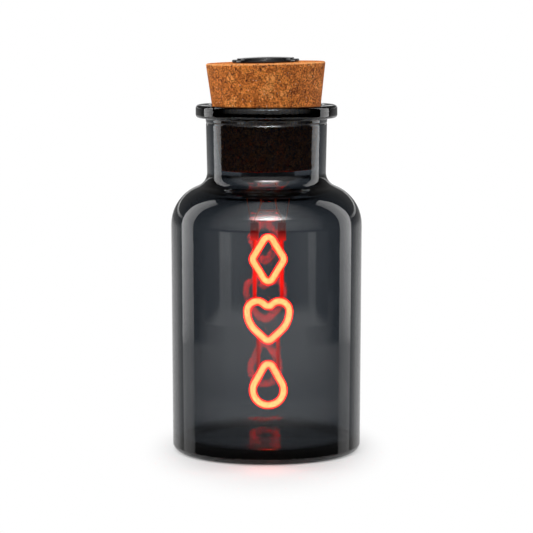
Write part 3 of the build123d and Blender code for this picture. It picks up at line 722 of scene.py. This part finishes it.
# A dark net round and over the set and on its floor, which only mirrored rays meet. It is
# shut at the front and lets more of the white through to the sides and the back.
net_material, tree, shader = new_material("dark_net")
shader.inputs["Base Color"].default_value = (0.004, 0.004, 0.005, 1.0)
shader.inputs["Roughness"].default_value = 1.0
shader.inputs["Specular IOR Level"].default_value = 0.0
opening = add_node(tree, "ShaderNodeAttribute", attribute_name="opening")
clear = add_node(tree, "ShaderNodeBsdfTransparent")
blend = add_node(tree, "ShaderNodeMixShader")
tree.links.new(opening.outputs["Fac"], blend.inputs["Fac"])
tree.links.new(shader.outputs["BSDF"], blend.inputs[1])
tree.links.new(clear.outputs["BSDF"], blend.inputs[2])
tree.links.new(blend.outputs["Shader"], tree.nodes["Material Output"].inputs["Surface"])


def between(value, table):
    """Value looked up between the rows of a table of pairs."""
    for (low, first), (high, last) in zip(table, table[1:]):
        if value <= high:
            return first + (last - first) * max(0.0, value - low) / (high - low)
    return table[-1][1]


# What the bottle mirrors is laid out by the way the light leaves its side, in degrees from
# the camera's side, and by the place where such light passes a ring round the bottle

def mirrored_place(turn, radius):
    """Place on a ring that the bottle's side mirrors towards the camera from this turn."""
    size = abs(radians(turn))
    shift = asin(min(1.0, body_radius * sin(size / 2) / radius)) if radius > body_radius else 0.0
    shift *= min(1.0, (pi - size) / radians(30))
    place = copysign(size - shift, turn)
    return (radius * sin(place), -radius * cos(place))


def mirrored_sheet(name, material, attribute, turns, rings, value):
    """A mesh of rings, each a radius and a height, that carries a value at each point."""
    corners = []
    values = []
    for index, (radius, height) in enumerate(rings):
        for turn in turns:
            corners.append((*mirrored_place(turn, radius), height))
            values.append(value(turn, index))
    faces = []
    for ring in range(len(rings) - 1):
        for step in range(len(turns) - 1):
            low = ring * len(turns) + step
            high = low + len(turns)
            faces.append((low, low + 1, high + 1, high))
    sheet = stage_piece(name, corners, faces, material)
    sheet.data.attributes.new(attribute, "FLOAT", "POINT").data.foreach_set("value", values)
    sheet.visible_camera = False
    sheet.visible_diffuse = False
    sheet.visible_transmission = False
    sheet.visible_volume_scatter = False
    sheet.visible_shadow = False
    return sheet


# Rings of the net, from the floor by the bottle out, up the wall and over: radius, height,
# and how much it lets through in front, between, at the side lamps and at the back
net_rings = [
    (0.048, 0.001, (0.05, 0.05, 0.80, 0.66)),
    (0.107, 0.001, (0.20, 0.16, 0.85, 0.72)),
    (0.124, 0.001, (0.62, 0.38, 0.88, 0.72)),
    (0.139, 0.001, (0.80, 0.46, 0.90, 0.72)),
    (0.166, 0.001, (0.76, 0.44, 0.95, 0.72)),
    (0.197, 0.001, (0.60, 0.38, 0.98, 0.72)),
    (0.23, 0.001, (0.68, 0.40, 1.0, 0.72)),
    (0.30, 0.001, (0.90, 0.43, 1.0, 0.72)),
    (0.375, 0.001, (1.0, 0.44, 1.0, 0.72)),
    (0.41, 0.001, (1.0, 0.0, 1.0, 0.72)),
    (0.50, 0.001, (1.0, 0.0, 0.75, 0.72)),
    (0.80, 0.001, (0.20, 0.0, 0.75, 0.72)),
    (0.80, 0.06, (0.0, 0.0, 0.0, 0.55)),
    (0.80, 0.11, (0.0, 0.0, 0.0, 0.25)),
    (0.80, 0.205, (0.0, 0.0, 0.0, 0.14)),
    (0.80, 0.212, (0.0, 0.0, 0.0, 1.0)),
    (0.80, 0.248, (0.0, 0.0, 0.0, 1.0)),
    (0.80, 0.256, (0.0, 0.0, 0.0, 0.13)),
    (0.80, 0.35, (0.0, 0.0, 0.0, 0.12)),
    (0.80, 0.80, (0.0, 0.0, 0.0, 0.06)),
    (0.80, 1.60, (0.0, 0.0, 0.0, 0.0)),
    (0.0001, 1.60, (0.0, 0.0, 0.0, 0.0)),
]
side_glow_turns = [(98, 0.0), (99.5, 0.75), (106, 0.95), (115, 1.0), (122, 1.1), (124, 0.45)]


def net_opening(turn, ring):
    """How much of the white the net lets through here."""
    ahead, between_lamps, aside, behind = net_rings[ring][2]
    size = abs(turn)
    if size < 98:
        return between(size, [(45, ahead), (75, (ahead + between_lamps) / 2), (90, between_lamps)])
    if size < 124:
        floor = between(size, [(98, between_lamps), (100, 0.0)])
        return max(floor, aside * between(size, side_glow_turns))
    return between(size, [(124, 0.5 * behind), (128, 0.55 * behind), (140, behind), (180, behind)])


net_turns = [-180 + 2 * step for step in range(181)]
fine_turns = [97.5 + 0.5 * step for step in range(56)]
net_turns = sorted(set(net_turns) | set(fine_turns) | {-turn for turn in fine_turns})
mirrored_sheet(
    "dark_net", net_material, "opening", net_turns, [ring[:2] for ring in net_rings], net_opening
)

# Bright sheets that the glass mirrors, each with a level that fades over it
glow_material, tree, shader = new_material("soft_glow")
shader.inputs["Base Color"].default_value = (0.0, 0.0, 0.0, 1.0)
shader.inputs["Specular IOR Level"].default_value = 0.0
shader.inputs["Emission Color"].default_value = (1.0, 1.0, 1.0, 1.0)
level = add_node(tree, "ShaderNodeAttribute", attribute_name="level")
tree.links.new(level.outputs["Fac"], shader.inputs["Emission Strength"])

side_distance = 0.385
side_turns = [99 + 0.5 * step for step in range(50)]
side_levels = [(99, 1.7), (106, 1.95), (110, 2.25), (115, 2.5), (119, 2.75), (124, 3.1)]
side_rises = [(0.001, 0.46), (0.008, 0.60), (0.0165, 0.68), (0.0265, 0.72), (0.032, 0.75),
              (0.045, 0.82), (0.059, 0.86), (0.081, 1.03), (0.30, 1.03), (0.60, 0.8)]
side_heights = [0.001, 0.004, 0.008, 0.0165, 0.0265, 0.032, 0.045, 0.059, 0.081,
                0.12, 0.2, 0.3, 0.4, 0.5, 0.6]
for name, side in (("left", -1), ("right", 1)):
    mirrored_sheet(
        f"side_sheet_{name}", glow_material, "level", [side * turn for turn in side_turns],
        [(side_distance, height) for height in side_heights],
        lambda turn, ring: between(abs(turn), side_levels) * between(side_heights[ring], side_rises),
    )

# The far edge of the lit table in front, and over it the dim and the bright parts of the room
front_distance = 0.5
front_top = 0.100
front_levels = [(-80, 0.08), (-59.5, 0.16), (-56.5, 1.15), (-43.5, 1.15), (-42, 0.5), (-30, 0.42),
                (-15, 0.25), (0, 0.15), (30, 0.13), (42, 0.32), (50, 0.4), (52, 0.9), (60, 0.9),
                (62.5, 0.12), (80, 0.08)]
front_rises = [(0.02, 0.78), (0.033, 0.82), (0.0465, 0.90), (0.056, 0.95), (0.068, 1.15)]
table_edges = [(58, 0.016), (65, 0.0086), (73, 0.0019), (87, -0.004)]
table_turns = [(45, 1.15), (60, 1.1), (75, 0.7), (98, 0.42)]
front_heights = [0.0015 + 0.0025 * step for step in range(41)]
front_turns = [-80 + step for step in range(161)]
front_top_fade = 0.01
table_edge_below = 0.005
table_edge_above = 0.008


def front_level(turn, ring):
    """Brightness of the front sheet: the table below its far edge and the room over it."""
    size = abs(turn)
    height = front_heights[ring]
    table = between(size, table_turns)
    room = between(turn, front_levels) * between(height, front_rises)
    room *= between(height, [(front_top - front_top_fade, 1.0), (front_top, 0.0)])
    edge = between(size, table_edges)
    over_edge = between(height, [(edge - table_edge_below, 0.0), (edge + table_edge_above, 1.0)])
    return table + (room - table) * over_edge


mirrored_sheet(
    "front_sheet", glow_material, "level", front_turns,
    [(front_distance, height) for height in front_heights],
    front_level,
)

# The patch high in front that lights the shoulder
patch_distance = 0.75
patch_middle = 0.117
patch_half_turn = 36.0
patch_turn = 3.0
patch_level = 30.0
patch_rises = [1 + 2 * step for step in range(41)]
patch_turns = [-80 + 2 * step for step in range(81)]
patch_falls = [(27, 0.0), (29, 1.0), (33, 0.7), (39, 0.25), (45, 0.08), (61, 0.0)]
surround_half_turn = 78.0
surround_level = 1.1
surround_falls = [(1, 0.45), (4, 0.75), (12, 1.0), (40, 0.95), (66, 1.3), (81, 1.0)]


def patch_light(turn, ring):
    """Brightness of the patch: a strong middle in a wide faint surround."""
    middle = max(0.0, 1 - ((turn - patch_turn) / patch_half_turn)**2)**3
    surround = max(0.0, 1 - (turn / surround_half_turn)**2)
    return (patch_level * middle * between(patch_rises[ring], patch_falls)
            + surround_level * surround * between(patch_rises[ring], surround_falls))


mirrored_sheet(
    "soft_patch", glow_material, "level", patch_turns,
    [(patch_distance * cos(radians(rise)), patch_middle + patch_distance * sin(radians(rise)))
     for rise in patch_rises],
    patch_light,
)


red_light = (1.0, 0.035, 0.008)


def soft_lamp(name, place, aim, size, radiance):
    """A rectangular lamp of a given brightness, turned to a point and not mirrored."""
    data = bpy.data.lights.new(name, "AREA")
    data.shape = "RECTANGLE"
    data.size, data.size_y = size
    data.energy = radiance * size[0] * size[1] * pi
    lamp = link(bpy.data.objects.new(name, data))
    lamp.location = place
    lamp.rotation_euler = (Vector(aim) - Vector(place)).to_track_quat("-Z", "Y").to_euler()
    lamp.visible_camera = False
    lamp.visible_transmission = False
    lamp.visible_glossy = False


def red_glow(name, place, power, size):
    """A small lamp for the light that the figures throw, which moves with the stopper."""
    data = bpy.data.lights.new(name, "POINT")
    data.color = red_light
    data.energy = power
    data.shadow_soft_size = size
    lamp = link(bpy.data.objects.new(name, data))
    lamp.location = place
    lamp.parent = cork
    lamp.visible_camera = False
    lamp.visible_transmission = False
    lamp.visible_glossy = False


# Places in metres, powers in watts
red_glow("glow_by_diamond", (0, -0.004, 0.092), 0.012, 0.004)
red_glow("glow_by_blocks", (0, -0.004, 0.114), 0.02, 0.002)
red_glow("glow_by_heart", (0, -0.006, 0.067), 0.012, 0.004)
red_glow("glow_by_drop", (0, -0.006, 0.030), 0.012, 0.004)
red_glow("glow_on_floor", (0, -0.055, 0.012), 0.003, 0.006)

soft_lamp("side_lamp_left", (-0.42, 0.14, 0.3), (0, 0, 0.15), (0.2, 0.6), 2.2)
soft_lamp("side_lamp_right", (0.42, 0.14, 0.3), (0, 0, 0.15), (0.2, 0.6), 2.2)
soft_lamp("top_lamp", (0, -0.05, 0.85), (0, 0, 0.1), (0.42, 0.34), 3.0)
soft_lamp("front_lamp", (-0.35, -1.0, 0.7), (0, 0, 0.12), (0.6, 0.6), 5.0)

bpy.context.scene.view_settings.view_transform = "Standard"
